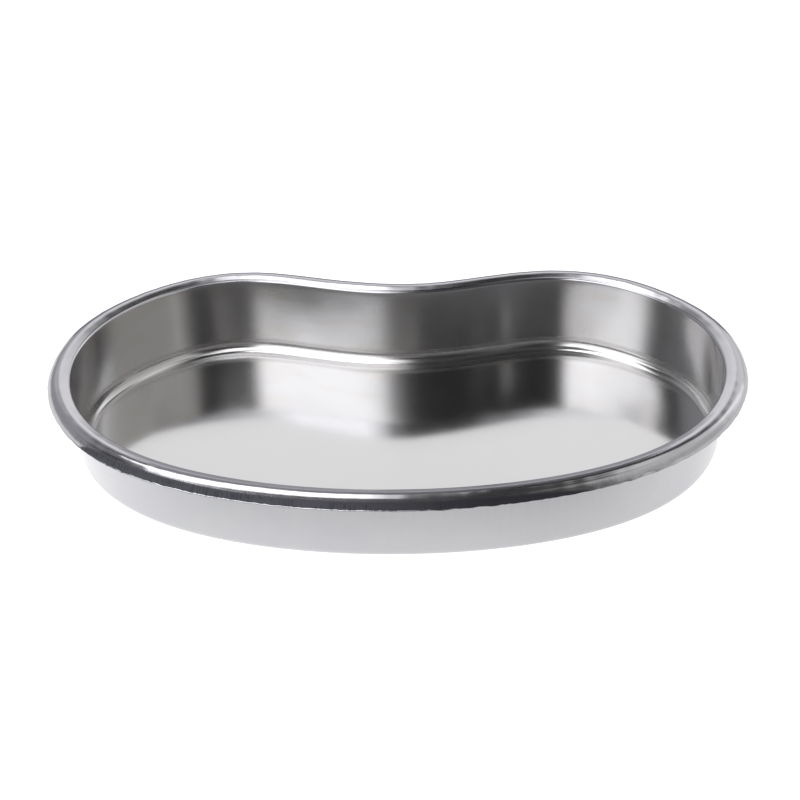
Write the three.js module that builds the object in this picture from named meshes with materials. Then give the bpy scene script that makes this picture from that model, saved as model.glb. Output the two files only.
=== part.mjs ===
// Kidney dish pressed from one blank of stainless sheet.
// Millimetres, +Z up. The origin is the centre of the underside: z = 0 is the
// face the dish rests on, +X runs along the dish, and +Y points to the side
// with the concave bay.
//
// The whole dish is one skin of constant thickness. It is described by two
// curves: the lip line, a closed kidney outline in plan, and the section, the
// path the sheet follows from the flat floor through the bend, up the drafted
// wall, over the lip and out along the turned-down rim to its open cut edge.

import * as THREE from 'three';

const { degToRad } = THREE.MathUtils;

// ---- driving dimensions -------------------------------------------------
const SHEET = 0.5; // sheet thickness

// lip line: the inner edge of the mouth, seen from above
const LIP_LENGTH = 187.1; // along X
const LIP_WIDTH = 112.3;  // along Y
// Shape of the lip line as a sum of harmonics k = 1..6 of one angle, which is
// 0 in the middle of the bay. The result is scaled to the two sizes above.
const HARMONICS_X = [91.66, -12.94, 1.80, 0.27, 0.33, 0.25];     // times sin(k angle)
const HARMONICS_Y = [56.68, -14.18, -3.22, -1.00, -1.02, -0.30]; // times cos(k angle)

const LIP_HEIGHT = 23.35; // lip line above the inner floor
const WALL_RUN = 4.95;    // plan distance from the lip line in to the floor's edge
const BEND_RADIUS = 3.3;  // inner radius between floor and wall

const LIP_RADIUS = 0.9;                // tight turn from the wall on to the rim
const LIP_LINE_SLOPE = degToRad(50);   // slope of the turn where it meets the lip line
const RIM_SLOPE = degToRad(13.5);      // slope at both ends of the rim's rising top band
const RIM_CROWN = 0.75;                // highest point of the rim above the lip line
const RIM_CROWN_RUN = 2.86;            // plan distance from the lip line to that point
const SHOULDER_RADIUS = 3.6;           // broad outer roll of the rim
const SKIRT_SLOPE = degToRad(-76);     // slope at the end of the roll, heading down
const SKIRT_DROP = 0.45;               // straight length below the roll, to the cut edge

// ---- resolution ---------------------------------------------------------
const STATIONS = 124;         // sections around the outline (even)
const BEND_STEPS = 5;
const LIP_STEPS = 4;
const SHOULDER_STEPS = 7;
const EXTENT_SAMPLES = 20000; // along half the outline, to find its extent
const SPACING_SAMPLES = 6000; // along half the outline, to space the stations
const TURN_WEIGHT = 30;       // one radian of turn counts as this length in the spacing

// ---- lip line -----------------------------------------------------------
// unscaled point and its derivative by the angle
function rawOutline(angle) {
  let x = 0, y = 0, dx = 0, dy = 0;
  for (let k = 1; k <= HARMONICS_X.length; k++) {
    const alongX = HARMONICS_X[k - 1];
    const alongY = HARMONICS_Y[k - 1];
    x += alongX * Math.sin(k * angle);
    dx += alongX * k * Math.cos(k * angle);
    y += alongY * Math.cos(k * angle);
    dy -= alongY * k * Math.sin(k * angle);
  }
  return { x, y, dx, dy };
}

// scale and centre that fit the raw outline to the lip's length and width
function fitOutline() {
  let xMax = 0, yMax = -Infinity, yMin = Infinity;
  for (let i = 0; i <= EXTENT_SAMPLES; i++) {
    const { x, y } = rawOutline(Math.PI * i / EXTENT_SAMPLES);
    xMax = Math.max(xMax, x);
    yMax = Math.max(yMax, y);
    yMin = Math.min(yMin, y);
  }
  return {
    scaleX: LIP_LENGTH / (2 * xMax),
    scaleY: LIP_WIDTH / (yMax - yMin),
    midY: (yMax + yMin) / 2,
  };
}

const FIT = fitOutline();

// point and outward unit normal at an angle
function lipLine(angle) {
  const raw = rawOutline(angle);
  const dx = FIT.scaleX * raw.dx;
  const dy = FIT.scaleY * raw.dy;
  const length = Math.hypot(dx, dy);
  return {
    x: FIT.scaleX * raw.x,
    y: FIT.scaleY * (raw.y - FIT.midY),
    // the outline runs clockwise, so its outward side is on the left
    normalX: -dy / length,
    normalY: dx / length,
  };
}

// angles of the stations on one half, closer together where the outline
// turns faster
function stationAngles(intervals) {
  // running total of length and weighted turn
  const travel = [0];
  let last = lipLine(0);
  for (let i = 1; i <= SPACING_SAMPLES; i++) {
    const now = lipLine(Math.PI * i / SPACING_SAMPLES);
    const run = Math.hypot(now.x - last.x, now.y - last.y);
    const cross = last.normalX * now.normalY - last.normalY * now.normalX;
    travel.push(travel[i - 1] + run + TURN_WEIGHT * Math.abs(Math.asin(cross)));
    last = now;
  }

  const angles = [0];
  let i = 0;
  for (let k = 1; k < intervals; k++) {
    const target = travel[SPACING_SAMPLES] * k / intervals;
    while (travel[i + 1] < target) i++;
    const fraction = (target - travel[i]) / (travel[i + 1] - travel[i]);
    angles.push(Math.PI * (i + fraction) / SPACING_SAMPLES);
  }
  angles.push(Math.PI);
  return angles;
}

// all stations, clockwise from the middle of the bay; the second half mirrors
// the first, so the dish is symmetric
function lipStations() {
  const half = stationAngles(STATIONS / 2).map(lipLine);
  const mirrored = half.slice(1, -1).reverse().map(
    (station) => ({ ...station, x: -station.x, normalX: -station.normalX }),
  );
  return half.concat(mirrored);
}

// ---- section ------------------------------------------------------------
// "out" runs outwards from the lip line, z up from the underside. The slope is
// 0 when the sheet runs level outwards and 90 degrees when it climbs.

// Points of an arc between two slopes. The radius is positive where the sheet
// curves upwards and negative where it curves downwards.
function arc({ centre, radius, from, to, steps }) {
  return Array.from({ length: steps + 1 }, (_, i) => {
    const slope = from + (to - from) * i / steps;
    return {
      out: centre.x + radius * Math.sin(slope),
      z: centre.y - radius * Math.cos(slope),
      slope,
    };
  });
}

// the inner and top face, from the floor's edge to the cut edge
function sectionPath() {
  const lipZ = SHEET + LIP_HEIGHT;
  const bendCentre = new THREE.Vector2(-WALL_RUN, SHEET + BEND_RADIUS);
  const lipCentre = new THREE.Vector2(
    LIP_RADIUS * Math.sin(LIP_LINE_SLOPE),
    lipZ - LIP_RADIUS * Math.cos(LIP_LINE_SLOPE),
  );
  const shoulderCentre = new THREE.Vector2(RIM_CROWN_RUN, lipZ + RIM_CROWN - SHOULDER_RADIUS);

  // the wall is the common tangent of the floor bend and the lip turn
  const gap = lipCentre.clone().sub(bendCentre);
  const wallSlope = Math.atan2(gap.y, gap.x)
    + Math.asin((BEND_RADIUS + LIP_RADIUS) / gap.length());

  const path = [
    ...arc({
      centre: bendCentre, radius: BEND_RADIUS, from: 0, to: wallSlope, steps: BEND_STEPS,
    }),
    ...arc({
      centre: lipCentre, radius: -LIP_RADIUS, from: wallSlope, to: RIM_SLOPE, steps: LIP_STEPS,
    }),
    ...arc({
      centre: shoulderCentre,
      radius: -SHOULDER_RADIUS,
      from: RIM_SLOPE,
      to: SKIRT_SLOPE,
      steps: SHOULDER_STEPS,
    }),
  ];
  const rollEnd = path.at(-1);
  path.push({
    out: rollEnd.out + SKIRT_DROP * Math.cos(SKIRT_SLOPE),
    z: rollEnd.z + SKIRT_DROP * Math.sin(SKIRT_SLOPE),
    slope: SKIRT_SLOPE,
  });
  return path;
}

// the sheet's outline in section: the inner and top face going out, then the
// outer and under face coming back, offset by the thickness
function sheetLoop() {
  const near = sectionPath();
  const far = near.map(({ out, z, slope }) => ({
    out: out + SHEET * Math.sin(slope),
    z: z - SHEET * Math.cos(slope),
  }));
  far[0].z = 0; // free of rounding, so the underside lies exactly on z = 0
  return near.concat(far.reverse());
}

// ---- the dish -----------------------------------------------------------
function dishGeometry() {
  const stations = lipStations();
  const loop = sheetLoop();
  const rows = loop.length;

  const positions = stations.flatMap(({ x, y, normalX, normalY }) => (
    loop.flatMap(({ out, z }) => [x + out * normalX, y + out * normalY, z])
  ));
  const vertex = (station, row) => (station % stations.length) * rows + row;

  // The skin between neighbouring stations. The first and last rows are the
  // floor's edge above and below, and the floor closes the body between them.
  const index = [];
  for (let i = 0; i < stations.length; i++) {
    for (let row = 0; row < rows - 1; row++) {
      const here = vertex(i, row);
      const hereNext = vertex(i, row + 1);
      const besideNext = vertex(i + 1, row + 1);
      const beside = vertex(i + 1, row);
      // the split alternates, so neither diagonal direction dominates
      if ((i + row) % 2 === 0) {
        index.push(here, besideNext, hereNext, here, beside, besideNext);
      } else {
        index.push(here, beside, hereNext, hereNext, beside, besideNext);
      }
    }
  }

  // flat floor: the same triangulation above and below
  const edge = stations.map(({ x, y, normalX, normalY }) => (
    new THREE.Vector2(x - WALL_RUN * normalX, y - WALL_RUN * normalY)
  ));
  for (const [i, j, k] of THREE.ShapeUtils.triangulateShape(edge, [])) {
    const turn = edge[j].clone().sub(edge[i]).cross(edge[k].clone().sub(edge[i]));
    const [p, q, r] = turn > 0 ? [i, j, k] : [i, k, j]; // anticlockwise from above
    index.push(vertex(p, 0), vertex(q, 0), vertex(r, 0));
    index.push(vertex(p, rows - 1), vertex(r, rows - 1), vertex(q, rows - 1));
  }

  const geometry = new THREE.BufferGeometry();
  geometry.setAttribute('position', new THREE.Float32BufferAttribute(positions, 3));
  geometry.setIndex(index);
  geometry.computeVertexNormals();
  return geometry;
}

const stainless = new THREE.MeshStandardMaterial({
  name: 'stainless_steel',
  color: 0xc3c5c9,
  roughness: 0.28,
  metalness: 1.0,
});

const dish = new THREE.Mesh(dishGeometry(), stainless);
dish.name = 'pressed_dish';

const model = new THREE.Group();
model.name = 'kidney_dish';
model.add(dish);

export default model;
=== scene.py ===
"""Kidney dish pressed from one stainless sheet, with its finish, table, studio and camera.

The dish stands on z = 0 with its length along x. The bay of the kidney is at the back (+y),
and the camera looks from the front (-y). The form is worked out in millimetres.
"""

import math

import bpy
import numpy as np
from mathutils import Matrix, Vector


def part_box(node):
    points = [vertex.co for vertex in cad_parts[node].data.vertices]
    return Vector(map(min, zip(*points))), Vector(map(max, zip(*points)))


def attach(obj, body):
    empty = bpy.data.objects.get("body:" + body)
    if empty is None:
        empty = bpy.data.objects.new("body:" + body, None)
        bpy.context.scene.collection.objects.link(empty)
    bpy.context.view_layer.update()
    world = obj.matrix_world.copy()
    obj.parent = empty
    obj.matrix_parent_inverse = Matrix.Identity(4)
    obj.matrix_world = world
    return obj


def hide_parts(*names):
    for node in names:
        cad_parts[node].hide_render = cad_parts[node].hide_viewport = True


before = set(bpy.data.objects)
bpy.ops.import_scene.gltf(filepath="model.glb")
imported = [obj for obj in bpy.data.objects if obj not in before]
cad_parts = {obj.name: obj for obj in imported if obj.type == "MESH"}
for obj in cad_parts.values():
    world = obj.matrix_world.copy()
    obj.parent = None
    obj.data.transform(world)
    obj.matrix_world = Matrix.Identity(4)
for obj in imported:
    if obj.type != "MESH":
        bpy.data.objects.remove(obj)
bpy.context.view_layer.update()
box_lo, box_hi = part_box("pressed_dish")
MM = 0.001

# ------------------------------------------------------------------ sizes of the dish
SHEET = 0.5
LIP_HEIGHT = 23.35  # lip line above the floor's show face
WALL_RUN = 4.95  # floor's edge to lip line, in plan
BEND_RADIUS = 3.3
LIP_RADIUS = 0.9
LIP_HEADING = math.radians(50)  # slope of the sheet where it crosses the lip line
RIM_RISE = math.radians(13.5)
RIM_CROWN = 0.75  # top of the rim above the lip line
RIM_CROWN_RUN = 2.86  # lip line to the top of the rim, in plan
SHOULDER_RADIUS = 3.6
SKIRT = math.radians(76)  # downward slope of the skirt
SKIRT_RUN = 0.12
FLARE_RADIUS = 0.34
FLARE_END = math.radians(-14)
FLARE_RUN = 0.08
EDGE_THINNING = 0.22
CUT_BULGE = 0.045
RIM_REACH = 6.462  # lip line to the outermost point of the CAD rim, in plan
FLOOR_X, FLOOR_Y = 0.0, -4.0  # the point the floor's rings shrink to
FLOOR_CROWN = 0.30
FLOOR_RUN = 50.0  # the run_mm attribute falls to minus this at the floor's centre

# the lip line: sizes of the sine waves in x and of the cosine waves in y, one turn and up
OUTLINE_X = (91.66, -12.94, 1.80, 0.27, 0.33, 0.25)
OUTLINE_Y = (56.68, -14.18, -3.22, -1.00, -1.02, -0.30)
LENGTH = (box_hi.x - box_lo.x) / MM - 2 * RIM_REACH
WIDTH = (box_hi.y - box_lo.y) / MM - 2 * RIM_REACH

STATIONS = 600
TURN_WEIGHT = 25  # one radian of turning draws as many stations as this length
BEND_STEPS, WALL_STEPS, LIP_STEPS = 16, 14, 11
RISE_STEPS, SHOULDER_STEPS, FLARE_STEPS = 4, 20, 6
LIP_ROW = BEND_STEPS + WALL_STEPS + 6  # a row near the middle of the lip's arc
# section rows that the under face keeps, besides the last four
UNDER_ROWS = (0, 2, 4, 6, 8, 10, 12, 14, 16, 20, 25, 30, 32, 34, 36, 38, 41, 43, 45, 48, 51, 54,
              57, 60, 63)
# floor rings as shares of the floor's edge
SHOW_RINGS = (0.985, 0.965, 0.94, 0.91, 0.87, 0.82, 0.76, 0.69, 0.61, 0.52, 0.42, 0.32, 0.21, 0.10)
UNDER_RINGS = (0.97, 0.92, 0.84, 0.72, 0.57, 0.40, 0.20)
# crimps in the front right of the skirt: x, size, width
CRIMPS = (
    (62.0, 0.16, 1.6), (66.0, -0.13, 1.2), (69.5, 0.18, 1.8), (74.0, -0.14, 1.3), (52.0, 0.10, 1.2),
)


# ------------------------------------------------------------------ plan and section
def raw_outline(angle):
    """The unscaled outline and its derivative."""
    x = sum(size * np.sin(k * angle) for k, size in enumerate(OUTLINE_X, 1))
    y = sum(size * np.cos(k * angle) for k, size in enumerate(OUTLINE_Y, 1))
    dx = sum(size * k * np.cos(k * angle) for k, size in enumerate(OUTLINE_X, 1))
    dy = -sum(size * k * np.sin(k * angle) for k, size in enumerate(OUTLINE_Y, 1))
    return x, y, dx, dy


fine_angle = np.linspace(0, 2 * np.pi, 40001)
raw_x, raw_y, _, _ = raw_outline(fine_angle)
SCALE_X = LENGTH / np.ptp(raw_x)
SCALE_Y = WIDTH / np.ptp(raw_y)
MIDDLE_Y = (raw_y.max() + raw_y.min()) / 2


def outline(angle):
    """Point and outward unit normal of the lip line, clockwise from the middle of the bay."""
    x, y, dx, dy = raw_outline(angle)
    x, y, dx, dy = SCALE_X * x, SCALE_Y * (y - MIDDLE_Y), SCALE_X * dx, SCALE_Y * dy
    length = np.hypot(dx, dy)
    return x, y, -dy / length, dx / length


def stations(count):
    """Angles spread by length and by turning, so that the tight ends get more sections.

    Returns the angles, the length along the lip line at each, and its whole length.
    """
    x, y, across, back = outline(fine_angle)
    step = np.hypot(np.diff(x), np.diff(y))
    turn = np.abs(np.diff(np.unwrap(np.arctan2(back, across))))
    weight = np.concatenate([[0], np.cumsum(step + TURN_WEIGHT * turn)])
    length = np.concatenate([[0], np.cumsum(step)])
    angle = np.interp(np.arange(count) / count * weight[-1], weight, fine_angle)
    return angle, np.interp(angle, fine_angle, length), length[-1]


def section():
    """The show face from the floor's edge to the cut edge.

    Returns the reach beyond the lip line, z, heading and length so far of each row, and the
    row where the shoulder ends.
    """
    lip_z = SHEET + LIP_HEIGHT
    bend = np.array([-WALL_RUN, SHEET + BEND_RADIUS])
    lip = np.array([LIP_RADIUS * math.sin(LIP_HEADING), lip_z - LIP_RADIUS * math.cos(LIP_HEADING)])
    gap = lip - bend
    wall = math.atan2(gap[1], gap[0])
    wall += math.asin((BEND_RADIUS + LIP_RADIUS) / math.hypot(*gap))
    rows = []

    def arc(centre, radius, start, end, steps, side, skip=1):
        # side 1: the centre lies on the show side, so the sheet turns up
        for i in range(skip, steps + 1):
            heading = start + (end - start) * i / steps
            rows.append((
                centre[0] + side * radius * math.sin(heading),
                centre[1] - side * radius * math.cos(heading),
                heading,
            ))

    def straight(length, steps):
        reach, z, heading = rows[-1]
        for i in range(1, steps + 1):
            part = length * i / steps
            rows.append((reach + part * math.cos(heading), z + part * math.sin(heading), heading))

    def straight_to(reach, z, steps):
        straight(math.hypot(reach - rows[-1][0], z - rows[-1][1]), steps)

    arc(bend, BEND_RADIUS, 0.0, wall, BEND_STEPS, 1, skip=0)
    straight_to(lip[0] - LIP_RADIUS * math.sin(wall), lip[1] + LIP_RADIUS * math.cos(wall), WALL_STEPS)
    arc(lip, LIP_RADIUS, wall, RIM_RISE, LIP_STEPS, -1)
    crown = (RIM_CROWN_RUN, lip_z + RIM_CROWN - SHOULDER_RADIUS)
    straight_to(
        crown[0] - SHOULDER_RADIUS * math.sin(RIM_RISE),
        crown[1] + SHOULDER_RADIUS * math.cos(RIM_RISE),
        RISE_STEPS,
    )
    arc(crown, SHOULDER_RADIUS, RIM_RISE, -SKIRT, SHOULDER_STEPS, -1)
    shoulder_end = len(rows) - 1
    straight(SKIRT_RUN, 1)
    # the trimmed edge flares out by a hair, a burr left by the trimming die
    reach, z, heading = rows[-1]
    flare = (reach - FLARE_RADIUS * math.sin(heading), z + FLARE_RADIUS * math.cos(heading))
    arc(flare, FLARE_RADIUS, heading, FLARE_END, FLARE_STEPS, 1)
    straight(FLARE_RUN, 1)
    reach, z, heading = np.array(rows).T
    length = np.concatenate([[0], np.cumsum(np.hypot(np.diff(reach), np.diff(z)))])
    return reach, z, heading, length, shoulder_end


# the grid of the dish: stations down, section rows across
lip_angle, along, around = stations(STATIONS)
lip_x, lip_y, normal_x, normal_y = outline(lip_angle)
row_reach, row_z, row_heading, run, skirt_row = section()
row = np.arange(len(run))[None, :]
beyond = run[None, :] - run[skirt_row]  # length past the end of the shoulder


# ------------------------------------------------------------------ departures from the ideal form
def ramp(value, start, end):
    """Smooth step from 0 at start to 1 at end."""
    share = np.clip((value - start) / (end - start), 0, 1)
    return share * share * (3 - 2 * share)


def wave(size, seed, waves, draws, fade):
    """A smooth closed wander along the rim, made of whole waves round the dish."""
    rng = np.random.default_rng(seed)
    total = np.zeros_like(along)
    norm = 0.0
    for k in np.unique(rng.integers(*waves, draws)):
        part = rng.normal() / k**fade
        total += part * np.cos(2 * np.pi * k * along / around + rng.uniform(0, 2 * np.pi))
        norm += part * part / 2
    return size * (total / math.sqrt(norm))


def pressing():
    """How far the show face stands off its ideal form, along its normal."""
    # the wall breathes between floor and rim
    belly = np.sin(np.pi * np.clip((run[None, :] - 3.0) / 20.0, 0, 1)) ** 1.2
    bump = wave(0.045, seed=11, waves=(5, 15), draws=8, fade=0.6)[:, None] * belly
    bump = bump + wave(0.014, seed=12, waves=(24, 60), draws=16, fade=0.2)[:, None] * belly
    # one faint upright flute in the wall, to the right of the bay
    flute = 0.10 * (np.exp(-(((lip_x - 29.5) / 3.2) ** 2)) * (lip_y > 0))
    bump = bump + flute[:, None] * belly**0.4
    # the rim rides up and down and its roll tightens and opens
    rim = np.clip((run[None, :] - run[LIP_ROW]) / 3.0, 0, 1)
    bump = bump + wave(0.040, seed=21, waves=(6, 22), draws=10, fade=0.6)[:, None] * rim
    bump = bump + wave(0.012, seed=22, waves=(40, 110), draws=24, fade=0.2)[:, None] * rim
    # draw wrinkles, strongest on the tight ends
    turn = np.gradient(np.unwrap(np.arctan2(normal_y, normal_x)), along)
    tight = np.clip((np.abs(turn) - 0.013) / 0.012, 0, 1) * (turn < 0)
    wrinkle = wave(0.020, seed=31, waves=(90, 190), draws=40, fade=0.0) * (0.25 + 0.75 * tight)
    return bump + wrinkle[:, None] * np.clip((beyond + 4.2) / 4.2, 0, 1) ** 1.5


def raggedness():
    """How far the cut edge runs on or falls short, with 26 small nicks."""
    ragged = wave(0.045, seed=41, waves=(30, 90), draws=24, fade=0.3)
    ragged = ragged + wave(0.040, seed=42, waves=(110, 260), draws=60, fade=0.0)
    rng = np.random.default_rng(43)
    for where in rng.uniform(0, around, 26):
        offset = (along - where + around / 2) % around - around / 2
        depth = rng.uniform(0.04, 0.14)
        ragged -= depth * np.exp(-((offset / rng.uniform(0.5, 1.4)) ** 2))
    return ragged[:, None]


def show_face():
    """Reach, z and heading of the show face at every station and row."""
    bump = pressing()
    reach = row_reach - bump * np.sin(row_heading)
    z = row_z + bump * np.cos(row_heading)

    # the burr stands out on the left half, and dies away to the right and at the left end
    burr = (0.12 + 0.88 * ramp(lip_x, 34.0, 4.0) * ramp(lip_x, -90.0, -74.0))[:, None]

    def fade_burr(flared, plain):
        return np.where(row > skirt_row, burr * flared + (1 - burr) * plain, flared)

    onward = beyond * 0.55
    reach = fade_burr(reach, reach[:, [skirt_row]] + onward * math.cos(SKIRT))
    z = fade_burr(z, z[:, [skirt_row]] - onward * math.sin(SKIRT))
    heading = fade_burr(row_heading, -SKIRT)

    low = np.clip((beyond + 1.6) / 1.8, 0, 1) ** 1.3
    for crimp_x, size, width in CRIMPS:
        here = np.exp(-(((lip_x - crimp_x) / width) ** 2)) * (lip_y < 0)
        reach = reach + (size * here)[:, None] * low * math.sin(SKIRT)
        z = z + (size * 0.5 * here)[:, None] * low

    ragged = raggedness() * np.clip((row - skirt_row + 3) / 4.0, 0, 1)
    return reach + ragged * np.cos(-SKIRT), z + ragged * np.sin(-SKIRT), heading


def floor_height(x, y, ring):
    """Height of the floor's dome above its edge, with the slight unevenness of pressing."""
    inward = 1 - ring**2
    ripple = 0.020 * np.sin(x / 21.0 + 0.6) * np.cos(y / 17.0 - 0.4)
    ripple = ripple + 0.012 * np.sin(x / 9.0 - y / 14.0)
    return FLOOR_CROWN * inward + ripple * inward


# ------------------------------------------------------------------ the dish's mesh
def link_object(name, mesh):
    obj = bpy.data.objects.new(name, mesh)
    bpy.context.scene.collection.objects.link(obj)
    return obj


def add_layer(mesh, name, values):
    layer = mesh.attributes.new(name, "FLOAT", "POINT")
    layer.data.foreach_set("value", np.asarray(values, np.float32))


class Shell:
    """Points with their attributes, and faces, gathered part by part."""

    def __init__(self):
        self.points, self.quads, self.triangles = [], [], []
        self.layers = {"run_mm": [], "under": [], "s_mm": []}
        self.count = 0

    def add(self, points, **layers):
        """Add points and return the index of the first."""
        first = self.count
        self.points.append(points)
        for name, values in layers.items():
            self.layers[name].append(np.broadcast_to(values, len(points)))
        self.count += len(points)
        return first

    def mesh(self, name):
        points = np.concatenate(self.points) * MM
        quads, triangles = np.concatenate(self.quads), np.concatenate(self.triangles)
        loops = np.concatenate([quads.ravel(), triangles.ravel()])
        starts = np.concatenate(
            [np.arange(len(quads)) * 4, len(quads) * 4 + np.arange(len(triangles)) * 3]
        )
        mesh = bpy.data.meshes.new(name)
        mesh.vertices.add(len(points))
        mesh.vertices.foreach_set("co", points.astype(np.float32).ravel())
        mesh.loops.add(len(loops))
        mesh.loops.foreach_set("vertex_index", loops.astype(np.int32))
        mesh.polygons.add(len(starts))
        mesh.polygons.foreach_set("loop_start", starts.astype(np.int32))
        mesh.update(calc_edges=True)
        mesh.validate()
        mesh.polygons.foreach_set("use_smooth", np.ones(len(mesh.polygons), bool))
        for layer, parts in self.layers.items():
            add_layer(mesh, layer, np.concatenate(parts))
        return mesh


station = np.arange(STATIONS)
following = (station + 1) % STATIONS


def add_floor(shell, edge_x, edge_y, edge, edge_z, rings, under):
    """Rings in from the bend to a fan at the centre; `edge` holds the edge's point indices."""
    turn = 1 if under else -1  # the show face looks up
    for ring in rings:
        x, y = FLOOR_X + (edge_x - FLOOR_X) * ring, FLOOR_Y + (edge_y - FLOOR_Y) * ring
        points = np.stack([x, y, edge_z + floor_height(x, y, ring)], 1)
        inner = station + shell.add(points, run_mm=-FLOOR_RUN * (1 - ring), under=under, s_mm=along)
        quads = np.stack([edge, edge[following], inner[following], inner], 1)
        shell.quads.append(quads[:, ::turn])
        edge = inner
    centre = np.array([[FLOOR_X, FLOOR_Y, edge_z + floor_height(FLOOR_X, FLOOR_Y, 0.0)]])
    middle = shell.add(centre, run_mm=-FLOOR_RUN, under=under, s_mm=0.0)
    fan = np.stack([edge, edge[following], np.full(STATIONS, middle)], 1)
    shell.triangles.append(fan[:, ::turn])


def build_dish():
    reach, z, heading = show_face()

    # under face, a parallel of the show face, thinner at the trimmed edge
    thick = SHEET - EDGE_THINNING * np.clip((row - skirt_row) / 6.0, 0, 1)
    rows = len(run)
    keep = np.array([*UNDER_ROWS, *range(rows - 4, rows)])
    under_reach = (reach + thick * np.sin(heading))[:, keep]
    under_z = (z - thick * np.cos(heading))[:, keep]

    # cut face, with both corners just broken
    share = np.array([0.9, 0.5, 0.1])
    cut_reach = reach[:, -1:] * share + under_reach[:, -1:] * (1 - share)
    cut_z = z[:, -1:] * share + under_z[:, -1:] * (1 - share)
    cut_reach = cut_reach + CUT_BULGE * np.cos(heading[:, -1:])
    cut_z = cut_z + CUT_BULGE * np.sin(heading[:, -1:])

    reach = np.concatenate([reach, cut_reach, under_reach[:, ::-1]], 1)
    z = np.concatenate([z, cut_z, under_z[:, ::-1]], 1)
    length = np.concatenate([run, np.full(3, run[-1]), run[keep][::-1]])
    under = np.concatenate([np.zeros(rows), np.full(3, 0.5), np.ones(len(keep))])
    columns = reach.shape[1]
    x = lip_x[:, None] + reach * normal_x[:, None]
    y = lip_y[:, None] + reach * normal_y[:, None]

    shell = Shell()
    shell.add(
        np.stack([x, y, z], 2).reshape(-1, 3),
        run_mm=np.tile(length, STATIONS),
        under=np.tile(under, STATIONS),
        s_mm=np.repeat(along, columns),
    )
    here = (station[:, None] * columns + np.arange(columns - 1)).ravel()
    there = (following[:, None] * columns + np.arange(columns - 1)).ravel()
    shell.quads.append(np.stack([here, there, there + 1, here + 1], 1))
    edge = station * columns
    add_floor(shell, x[:, 0], y[:, 0], edge, SHEET, SHOW_RINGS, under=0.0)
    last = columns - 1
    add_floor(shell, x[:, last], y[:, last], edge + last, 0.0, UNDER_RINGS, under=1.0)
    return link_object("pressed_dish_shell", shell.mesh("pressed_dish_shell"))


dish = build_dish()
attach(dish, "root")
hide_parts("pressed_dish")


# ------------------------------------------------------------------ shader graphs
def operator(kind, swapped=False):
    def apply(self, other):
        return self.graph.math(kind, *((other, self) if swapped else (self, other)))

    return apply


class Signal:
    """A node's output; arithmetic on it adds math nodes to its graph."""

    def __init__(self, graph, socket):
        self.graph, self.socket = graph, socket

    __add__, __radd__ = operator("ADD"), operator("ADD", swapped=True)
    __sub__, __rsub__ = operator("SUBTRACT"), operator("SUBTRACT", swapped=True)
    __mul__ = operator("MULTIPLY")
    __truediv__, __rtruediv__ = operator("DIVIDE"), operator("DIVIDE", swapped=True)

    def __abs__(self):
        return self.graph.math("ABSOLUTE", self)

    def step(self, low, high, start=0.0, end=1.0):
        """Smooth change from start to end as this goes from low to high."""
        limits = {"From Min": low, "From Max": high, "To Min": start, "To Max": end}
        return self.graph.out(
            "ShaderNodeMapRange", {"Value": self, **limits}, interpolation_type="SMOOTHSTEP"
        )

    def fall(self, low, high, end=0.0):
        """Smooth change from 1 to end as this goes from low to high."""
        return self.step(low, high, start=1.0, end=end)


class Graph:
    """Short hand for a shader tree."""

    def __init__(self, tree):
        self.tree = tree
        tree.nodes.clear()

    def node(self, kind, inputs=None, **props):
        node = self.tree.nodes.new(kind)
        for name, value in props.items():
            setattr(node, name, value)
        for key, value in (inputs or {}).items():
            if isinstance(value, Signal):
                self.tree.links.new(value.socket, node.inputs[key])
            else:
                node.inputs[key].default_value = value
        return node

    def out(self, kind, inputs=None, out=0, **props):
        return Signal(self, self.node(kind, inputs, **props).outputs[out])

    def math(self, operation, *values):
        return self.out("ShaderNodeMath", dict(enumerate(values)), operation=operation)

    def scale(self, vector, factor):
        return self.out("ShaderNodeVectorMath", {0: vector, 3: factor}, operation="SCALE")

    def split(self, vector):
        node = self.node("ShaderNodeSeparateXYZ", {0: vector})
        return [Signal(self, socket) for socket in node.outputs]

    def attribute(self, name):
        return self.out("ShaderNodeAttribute", attribute_name=name, out="Fac")

    def noise(self, place, scale=1.0, detail=2.0, rough=0.5):
        """Noise at a vector, or at a tuple of three coordinates."""
        if isinstance(place, tuple):
            place = self.out("ShaderNodeCombineXYZ", dict(enumerate(place)))
        inputs = {"Vector": place, "Scale": scale, "Detail": detail, "Roughness": rough}
        return self.out("ShaderNodeTexNoise", inputs)

    def mix(self, factor, first, second):
        """Colour that goes from first to second with the factor."""
        return self.out("ShaderNodeMix", {0: factor, 6: first, 7: second}, 2, data_type="RGBA")

    def glow(self, strength, colour=(1, 1, 1, 1)):
        return self.out("ShaderNodeEmission", {"Color": colour, "Strength": strength})

    def mix_shader(self, factor, first, second):
        return self.out("ShaderNodeMixShader", {0: factor, 1: first, 2: second})

    def surface(self, shader, kind="Material"):
        self.node("ShaderNodeOutput" + kind, {"Surface": shader})


def new_material(name):
    material = bpy.data.materials.new(name)
    material.use_nodes = True
    return material, Graph(material.node_tree)


# ------------------------------------------------------------------ the finish
ROUGH = {"floor": 0.12, "wall": 0.205, "rim": 0.17, "skirt": 0.22, "under": 0.24, "dull_and_shaded_foot": 0.30}
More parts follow.
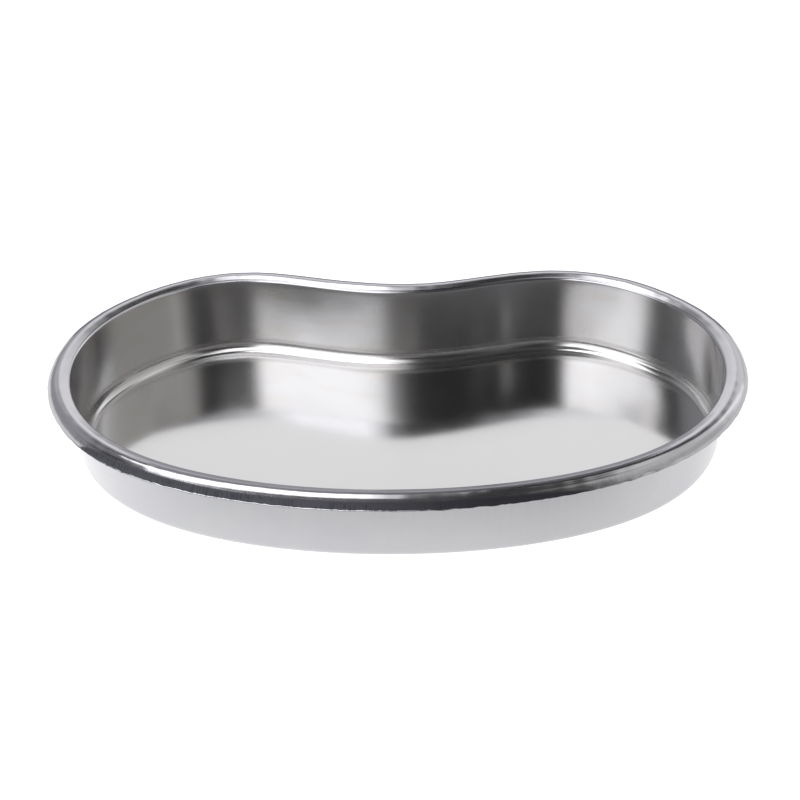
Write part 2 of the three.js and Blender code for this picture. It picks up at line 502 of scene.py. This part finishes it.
# how much each texture adds to the roughness
ROUGH_VARIATION = {"lines": 0.05, "cloud": 0.06, "speck": 0.04, "gall": 0.12}
COLOUR = {
    "wall": (0.505, 0.500, 0.498, 1),
    "floor": (0.645, 0.643, 0.640, 1),
    "rim": (0.535, 0.532, 0.548, 1),
    "straw": (0.490, 0.468, 0.440, 1),
    # painted shade: the darker colour along the foot of the wall
    "dull_and_shaded_foot": (0.430, 0.410, 0.395, 1),
    "under, blue": (0.560, 0.560, 0.585, 1),
    "under, grey": (0.590, 0.590, 0.605, 1),
    "streak": (0.500, 0.495, 0.515, 1),
    "gall": (0.22, 0.22, 0.25, 1),
}
TINT = {"straw": 0.5, "dull_and_shaded_foot": 0.6, "gall": 0.55}  # greatest share of these colours
RELIEF = {"lines": 0.0009, "speck": 0.0004, "peel": 0.016, "gall": 0.005}


def steel():
    material, graph = new_material("stainless_satin")
    place = graph.scale(graph.out("ShaderNodeTexCoord", out="Object"), 1 / MM)
    x, y, _ = graph.split(place)
    length = graph.attribute("run_mm")
    under = graph.attribute("under")
    along_rim = graph.attribute("s_mm")

    # zones, by length along the section in mm
    floor = length.fall(0.5, 4.0)
    rim = length.step(24.3, 25.3)
    skirt = length.step(30.0, 31.4)
    wall = (1.0 - floor) * (1.0 - rim)
    outside = under.step(0.6, 0.9)

    # grain: fine lines left by the polishing belt, along the wall and along the floor
    lines_wall = graph.noise((x * 0.05, y * 0.05, length * 5.0), detail=3.0, rough=0.6)
    lines_floor = graph.noise((x * 0.05, y * 4.5, 3.1), detail=3.0, rough=0.6)
    lines = lines_wall * (1.0 - floor) + lines_floor * floor
    speck = graph.noise(place, scale=3.2, rough=0.55)
    cloud = graph.noise(place, scale=0.045, detail=3.0, rough=0.55)

    # galling: short upright score marks low on the front of the skirt, fainter to the right
    marks = graph.noise((along_rim * 1.9, length * 0.22, 7.7), detail=2.5, rough=0.7)
    marks = marks.step(0.44, 0.58)
    patchy = graph.noise((along_rim * 0.11, length * 0.3, 2.2)).step(0.35, 0.6)
    low = length.step(30.4, 31.8) * under.fall(0.2, 0.4)
    low = low * (x.fall(8.0, 40.0, end=0.25) * y.fall(-34.0, -24.0))
    gall = marks * patchy * low

    # foot: a hair-thin band along the bottom of the wall, with a wandering top edge; rougher skin
    # there, and its colour darkened as painted shade where the wall meets the bend
    dull_and_shaded_foot = (length + (cloud - 0.5) * 1.5).fall(5.4, 6.4) * length.step(4.6, 5.2)
    dull_and_shaded_foot = dull_and_shaded_foot * (1.0 - outside)
    # orange peel: an oval patch of coarse skin high on the wall, right of the bay
    off_x, off_length = (x - 49.0) / 7.0, (length - 17.5) / 5.0
    peel = graph.math("POWER", 2.718, (off_x * off_x + off_length * off_length) * -1.0)
    peel = peel * y.step(0.0, 20.0) * (1.0 - outside)
    skin = graph.noise(place, scale=0.95, detail=1.5)

    rough = ROUGH["wall"] + floor * (ROUGH["floor"] - ROUGH["wall"])
    rough = rough + rim * (ROUGH["rim"] - ROUGH["wall"])
    rough = rough + skirt * (ROUGH["skirt"] - ROUGH["rim"])
    rough = rough * (1.0 - outside) + outside * ROUGH["under"]
    rough = rough + (lines - 0.5) * ROUGH_VARIATION["lines"]
    rough = rough + (cloud - 0.5) * ROUGH_VARIATION["cloud"]
    rough = rough + (speck - 0.5) * ROUGH_VARIATION["speck"]
    rough = rough + gall * ROUGH_VARIATION["gall"]
    rough = rough + dull_and_shaded_foot * (ROUGH["dull_and_shaded_foot"] - ROUGH["wall"])

    # colour outside: duller, with a trace of blue and upright drawing streaks
    dull = graph.mix(cloud.step(0.3, 0.7), COLOUR["under, blue"], COLOUR["under, grey"])
    streak = graph.noise((along_rim * 0.85, length * 0.06, 1.3), detail=3.0, rough=0.65)
    streak = streak.step(0.40, 0.75, end=0.40) * length.step(12.0, 22.0, start=0.2)
    dull = graph.mix(streak, dull, COLOUR["streak"])
    # colour of the show face: bright, with faint straw tints on the wall
    bright = graph.mix(floor, COLOUR["wall"], COLOUR["floor"])
    bright = graph.mix(rim, bright, COLOUR["rim"])
    straw = graph.noise((along_rim * 0.05, length * 0.16, 5.5)).step(0.48, 0.66)
    bright = graph.mix(straw * wall * TINT["straw"], bright, COLOUR["straw"])
    # painted shade: the colour darkens along the foot of the wall, where it meets the bend
    bright = graph.mix(dull_and_shaded_foot * TINT["dull_and_shaded_foot"], bright, COLOUR["dull_and_shaded_foot"])
    colour = graph.mix(outside, bright, dull)
    colour = graph.mix(gall * TINT["gall"], colour, COLOUR["gall"])

    relief = lines * RELIEF["lines"] + speck * RELIEF["speck"]
    relief = relief + skin * peel * RELIEF["peel"]
    relief = relief - gall * RELIEF["gall"]
    bump = graph.out("ShaderNodeBump", {"Strength": 1.0, "Distance": 0.001, "Height": relief})
    finish = {"Base Color": colour, "Metallic": 1.0, "Roughness": rough, "Normal": bump}
    graph.surface(graph.out("ShaderNodeBsdfPrincipled", finish))
    return material


dish.data.materials.append(steel())

# ------------------------------------------------------------------ the table
TABLE_STATIONS = 180
TABLE_Z = -5e-5  # metres, just under the dish
TABLE_EDGE = 6.0  # metres, the outermost ring's radius
TABLE_START = -WALL_RUN - BEND_RADIUS  # ring 0 against the lip line, under the floor
TABLE_RINGS = (-40.0, -16.0, -6.0, 0.0, 3.0, 7.0, 12.0, 20.0, 32.0, 50.0, 90.0, 160.0)
TABLE_NEAR, TABLE_FAR = 1.02, 0.72  # glow that the steel sees, close to the dish and away


def link_glowing(name, verts, faces, layer, values):
    mesh = bpy.data.meshes.new(name)
    mesh.from_pydata(verts, [], faces)
    add_layer(mesh, layer, values)
    return link_object(name, mesh)


def paper():
    material, graph = new_material("white_paper_glowing")
    away = graph.attribute("near_mm")
    to_camera = graph.out("ShaderNodeLightPath", out="Is Camera Ray")
    # painted light: for the steel the paper glows, brightest close to the dish and dimmer away
    bounce = away.step(0.0, 26.0, start=TABLE_NEAR, end=TABLE_FAR)
    x, y, _ = graph.split(graph.out("ShaderNodeNewGeometry", out="Position"))
    # for the steel, the paper's painted glow falls to a twentieth in front of the dish, as if the
    # paper ended there; distances in metres
    lit = (y + x * 0.15).step(-0.17, -0.10)
    bounce = bounce * (0.05 + lit * 0.95)
    # painted light: the glow is brighter beyond both ends, and a little brighter on the left
    ends = abs(x).step(0.055, 0.115)
    bounce = bounce * (1.0 + ends * 0.28)
    bounce = bounce * x.step(-0.07, 0.07, start=1.10, end=0.93)
    seen = graph.glow(bounce)
    soft = graph.out("ShaderNodeBsdfDiffuse", {"Color": (0.5, 0.5, 0.5, 1)})
    sheet = graph.out("ShaderNodeAddShader", {0: soft, 1: graph.glow(0.86)})
    graph.surface(graph.mix_shader(to_camera, seen, sheet))
    return material


def build_table():
    """A flat sheet of pale paper whose rings follow the dish, to light it by distance."""
    lip_x, lip_y, normal_x, normal_y = outline(stations(TABLE_STATIONS)[0])
    bearing = np.arctan2(lip_x, lip_y)
    verts, near = [(FLOOR_X * MM, FLOOR_Y * MM, TABLE_Z)], [0.0]
    for ring in TABLE_RINGS:
        out = TABLE_START + max(ring, 0.0)
        x, y = lip_x + out * normal_x, lip_y + out * normal_y
        if ring < 0:
            shrink = 1 + ring / 45.0
            x, y = x * shrink, (y - FLOOR_Y) * shrink + FLOOR_Y
        else:
            # the kidney turns into an oval as the rings grow
            grow = (ring / TABLE_RINGS[-1]) ** 0.7
            x = x * (1 - grow) + grow * (100 + ring) * 1.6 * np.sin(bearing)
            y = y * (1 - grow) + grow * (60 + ring) * 1.6 * np.cos(bearing)
        verts += [(px * MM, py * MM, TABLE_Z) for px, py in zip(x, y)]
        near += [max(ring, 0.0)] * TABLE_STATIONS
    verts += [(TABLE_EDGE * math.sin(b), TABLE_EDGE * math.cos(b), TABLE_Z) for b in bearing]
    near += [200.0] * TABLE_STATIONS
    count = TABLE_STATIONS
    faces = [(0, 1 + (i + 1) % count, 1 + i) for i in range(count)]
    for k in range(len(TABLE_RINGS)):
        inner, outer = 1 + k * count, 1 + (k + 1) * count
        for i in range(count):
            j = (i + 1) % count
            faces.append((inner + i, inner + j, outer + j, outer + i))
    table = link_glowing("table", verts, faces, "near_mm", near)
    table.data.materials.append(paper())
    return table


build_table()

# ------------------------------------------------------------------ the cards
# where a ray must leave the steel to see such a card: axis, start and end of the change
SEEN_FROM = {"back": (1, 4 * MM, 12 * MM), "edges": (2, 0.80 * MM, 0.95 * MM)}


def build_card(name, columns, tint=(1.0, 1.0, 1.0, 1), seen_from=None):
    """A glowing card out of the camera's sight; each column is two points and their glows.

    Seen from "edges", it is clear to light off the flat floor, which then mirrors the open
    studio; seen from "back", it is clear to light off the front half of the dish.
    """
    verts = [tuple(c * MM for c in point) for column in columns for point in column[:2]]
    faces = [(2 * i, 2 * i + 2, 2 * i + 3, 2 * i + 1) for i in range(len(columns) - 1)]
    glows = [glow for column in columns for glow in column[2:]]
    card = link_glowing(name, verts, faces, "glow", glows)
    material, graph = new_material(name + "_card")
    face = graph.glow(graph.attribute("glow"), tint)
    if seen_from:
        axis, low, high = SEEN_FROM[seen_from]
        here = graph.node("ShaderNodeNewGeometry")
        length = graph.out("ShaderNodeLightPath", out="Ray Length")
        position, incoming = (
            graph.split(Signal(graph, here.outputs[name]))[axis]
            for name in ("Position", "Incoming")
        )
        clear = graph.out("ShaderNodeBsdfTransparent")
        face = graph.mix_shader((position + incoming * length).step(low, high), clear, face)
    graph.surface(face)
    card.data.materials.append(material)
    card.visible_camera = False


# places round the lip line, and the way each faces: degrees, 0 to the back, 90 to the right
card_x, card_y, card_nx, card_ny = outline(np.linspace(0, 2 * np.pi, 721))
facing = np.degrees(np.arctan2(card_nx, card_ny)) % 360
from_back = np.minimum(facing, 360 - facing)


def rim_card(name, pick, out, low, top, glow_low, glow_top, tint):
    """A card that stands `out` mm beyond the lip line at the picked places."""
    x = card_x[pick] + out * card_nx[pick]
    y = card_y[pick] + out * card_ny[pick]
    places = zip(*np.broadcast_arrays(x, y, low, top, glow_low, glow_top))
    columns = [((px, py, z0), (px, py, z1), g0, g1) for px, py, z0, z1, g0, g1 in places]
    build_card(name, columns, tint)


# a narrow dark strip off the front of the rim keeps the key box off the skirt;
# it runs out to nothing at both ends, so that its reflection has no hard stop
STRIP_FROM, STRIP_TO, STRIP_LOW, STRIP_TOP = 158.0, 233.0, 20.3, 27.5
pick = np.arange(720)
pick = pick[(facing[pick] >= STRIP_FROM) & (facing[pick] <= STRIP_TO) & (card_y[pick] < 10)]
fade = ramp(facing[pick], STRIP_FROM, STRIP_FROM + 16) * ramp(facing[pick], STRIP_TO, STRIP_TO - 14)
rightward = ramp(card_x[pick], -30.0, 28.0)
rim_card(
    "strip", pick, out=RIM_REACH + 1.7,
    low=STRIP_LOW, top=STRIP_LOW + (STRIP_TOP - STRIP_LOW) * fade**0.5,
    glow_low=0.175 - 0.115 * rightward, glow_top=0.145 - 0.100 * rightward,
    tint=(0.95, 0.96, 1.10, 1),
)
# its fellow behind the back rim
BACK_STRIP_END = 78.0
pick = np.arange(-250, 250)
pick = pick[(from_back[pick] <= BACK_STRIP_END) & (card_y[pick] > -20)]
rim_card(
    "back_strip", pick, out=RIM_REACH + 1.6,
    low=20.0, top=20.2 + 5.4 * ramp(from_back[pick], BACK_STRIP_END, 60.0),
    glow_low=0.20, glow_top=0.26, tint=(0.92, 0.95, 1.13, 1),
)
# a flag in front of the dish greys the foot of the back wall: x, low and high edge
FRONT_Y = -107.0
FLAG = (
    (-140, 64, 76), (-110, 64, 76), (-90, 66, 76), (-60, 66, 78), (-34, 66, 80), (0, 58, 74),
    (25, 55, 72),
)
flag = [((x, FRONT_Y, low), (x, FRONT_Y, high), 0.62, 0.62) for x, low, high in FLAG]
build_card("flag", flag, tint=(1.0, 0.96, 0.93, 1))
# a narrow upright card to the front right draws the pale streak in the bay
slot = [((x, FRONT_Y, 62.0), (x, FRONT_Y, 172.0), 1.4, 1.4) for x in (136.0, 150.0)]
build_card("slot", slot, seen_from="back")
# a level soft box hung over the left, dimmer at its right edge: x, glow
OVERHEAD = ((-140.0, 2.6), (-22.0, 2.6), (7.0, 0.3))
overhead = [((x, -71.0, 150.0), (x, 27.0, 150.0), glow, glow) for x, glow in OVERHEAD]
build_card("overhead", overhead, tint=(1.0, 1.0, 1.03, 1), seen_from="edges")
# a card hung over the back half dims what the front of the rim sees of the sweep:
# x, glow at the lower edge, glow at the upper edge
HUNG = ((-78.0, 0.46, 0.26), (-30.0, 0.44, 0.24), (20.0, 0.24, 0.10), (78.0, 0.20, 0.09))
hung = [((x, 31.0, 57.0), (x, 15.5, 123.0), low, high) for x, low, high in HUNG]
build_card("hung", hung, tint=(0.98, 0.98, 1.06, 1), seen_from="edges")
# a low card on the back lip carries the pattern of the wall on into the floor's mirror image
LIP_CARD_LOW = 24.2
LIP_CARD = (  # x, height, glow
    (-78, 0.0, 0.25), (-66, 2.0, 0.28), (-58, 2.8, 0.38), (-52, 3.0, 0.55), (-46, 3.1, 0.78),
    (-40, 3.4, 1.12), (-33, 4.2, 1.46), (-12, 5.9, 1.46), (-7.5, 6.0, 0.95), (-3, 6.0, 0.25),
    (2, 5.8, 0.05), (15, 5.0, 0.025), (21, 4.6, 0.04), (27, 4.2, 0.16), (33, 3.8, 0.20),
    (39, 3.4, 0.36), (45, 3.1, 0.72), (51, 2.9, 0.95), (60, 2.2, 1.05), (72, 0.0, 1.05),
)
table_x, table_height, table_glow = np.array(LIP_CARD).T
pick = np.arange(-200, 200)
pick = pick[(card_ny[pick] > 0) & (card_y[pick] > 20)]
pick = pick[(card_x[pick] >= table_x[0]) & (card_x[pick] <= table_x[-1])]
glow = np.interp(card_x[pick], table_x, table_glow)
rim_card(
    "lip_card", pick, out=0.6,
    low=LIP_CARD_LOW, top=LIP_CARD_LOW + np.interp(card_x[pick], table_x, table_height),
    glow_low=glow, glow_top=glow, tint=(0.98, 0.98, 1.03, 1),
)

# ------------------------------------------------------------------ the studio
# Soft boxes and screens as patches of the surroundings, in degrees; azimuth 0 is behind the
# dish, positive to the right. Columns: middle azimuth, half width, its edge, lowest and
# highest elevation, their edges, strength, tint.
SCREENS = {
    "key box, front left": (-140.0, 29.5, 7.0, 6.0, 50.0, 8.0, 6.0, 2.25, (0.99, 0.995, 1.03)),
    "key box, upper half": (-140.0, 29.5, 7.0, 31.0, 50.0, 4.0, 6.0, 0.65, (0.99, 0.995, 1.03)),
    "sweep behind": (-1.0, 12.0, 5.0, 18.0, 43.0, 6.0, 6.0, 0.48, (1.0, 1.0, 0.99)),
    "sweep, wide": (-10.0, 26.0, 8.0, 18.0, 43.0, 6.0, 6.0, 0.25, (1.0, 1.0, 0.99)),
    "sweep right": (34.0, 20.0, 8.0, 4.0, 36.0, 6.0, 6.0, 0.52, (1.0, 1.0, 0.99)),
    "room behind": (-4.0, 68.0, 14.0, -20.0, 40.0, 5.0, 14.0, 0.42, (0.98, 0.97, 1.05)),
    "room left, low": (-84.0, 16.0, 8.0, -20.0, 30.0, 5.0, 8.0, 0.30, (0.98, 0.98, 1.04)),
    "room left, high": (-56.0, 18.0, 8.0, 34.0, 53.0, 6.0, 8.0, 0.22, (0.98, 0.98, 1.04)),
    "room front right": (162.0, 26.0, 8.0, -12.0, 30.0, 6.0, 8.0, 0.085, (0.98, 0.98, 1.04)),
    "screen right": (89.0, 45.0, 4.0, -20.0, 56.0, 5.0, 6.0, 0.58, (1.01, 1.0, 0.99)),
    "screen right, upper": (89.0, 45.0, 4.0, 31.0, 56.0, 4.0, 6.0, 0.14, (1.01, 1.0, 0.99)),
    "screen right, high": (66.0, 34.0, 6.0, 56.0, 68.0, 4.0, 5.0, 0.85, (1.01, 1.0, 0.99)),
}
AMBIENT = 0.018
# boxes hung level overhead, sizes over height:
# left edge, its slant, right edge, front edge, back edge, strength
TOP_BOXES = (
    (-0.69, 0.62, -0.05, -0.02, 0.87, 3.0),
    (-1.00, 0.00, 0.02, -1.10, -0.10, 0.15),
    (0.02, 0.00, 0.60, -0.95, 0.10, 0.03),
)
FRONT_SLANT = 0.3


def studio():
    world = bpy.data.worlds.new("studio")
    bpy.context.scene.world = world
    world.use_nodes = True
    graph = Graph(world.node_tree)
    way = graph.out("ShaderNodeTexCoord", out="Generated")
    x, y, z = graph.split(graph.out("ShaderNodeVectorMath", {0: way}, operation="NORMALIZE"))
    degrees = 180.0 / math.pi
    azimuth = graph.math("ARCTAN2", x, y) * degrees
    elevation = graph.math("ARCSINE", z) * degrees
    total = (AMBIENT, AMBIENT, AMBIENT)

    def add_light(total, colour, mask):
        light = graph.scale(colour, mask)
        return graph.out("ShaderNodeVectorMath", {0: total, 1: light}, operation="ADD")

    for middle, half, edge, low, high, low_edge, high_edge, strength, tint in SCREENS.values():
        off = abs(graph.math("WRAP", azimuth - middle, 180.0, -180.0))
        mask = off.fall(half - edge, half + edge)
        mask = mask * elevation.step(low - low_edge, low + low_edge)
        mask = mask * elevation.fall(high - high_edge, high + high_edge)
        total = add_light(total, tuple(strength * part for part in tint), mask)
    over = 1.0 / graph.math("MAXIMUM", z, 0.02)
    level_x, level_y = x * over, y * over
    for left, slant, right, front, back, strength in TOP_BOXES:
        slid = level_x - level_y * slant
        mask = slid.step(left - 0.06, left + 0.06) * level_x.fall(right - 0.05, right + 0.05)
        depth = (level_y - level_x * FRONT_SLANT).step(front - 0.06, front + 0.06)
        mask = mask * (depth * level_y.fall(back - 0.09, back + 0.09))
        total = add_light(total, (strength, strength, strength * 1.03), mask)
    to_camera = graph.out("ShaderNodeLightPath", out="Is Camera Ray")
    colour = graph.mix(to_camera, total, (1.0, 1.0, 1.0, 1.0))
    light = graph.out("ShaderNodeBackground", {"Color": colour, "Strength": 1.0})
    graph.surface(light, kind="World")


studio()
scene = bpy.context.scene
scene.view_settings.view_transform = "Standard"
scene.cycles.glossy_bounces = 7
scene.cycles.max_bounces = 9

# ------------------------------------------------------------------ the camera
CAMERA_PLACE = (0.02421, -0.62490, 0.41269)
YAW, TILT, ROLL = (math.radians(angle) for angle in (-2.134, 32.362, -1.466))
camera = link_object("camera", bpy.data.cameras.new("camera"))
camera.data.sensor_width = 36.0
camera.data.lens = 116.6805
camera.data.clip_start, camera.data.clip_end = 0.01, 60.0
ahead = Vector((math.sin(YAW) * math.cos(TILT), math.cos(YAW) * math.cos(TILT), -math.sin(TILT)))
level = Vector((math.cos(YAW), -math.sin(YAW), 0.0))
above = level.cross(ahead)
camera_right = math.cos(ROLL) * level + math.sin(ROLL) * above
camera_up = -math.sin(ROLL) * level + math.cos(ROLL) * above
turn = Matrix((camera_right, camera_up, -ahead)).transposed()
camera.matrix_world = Matrix.Translation(CAMERA_PLACE) @ turn.to_4x4()
scene.camera = camera
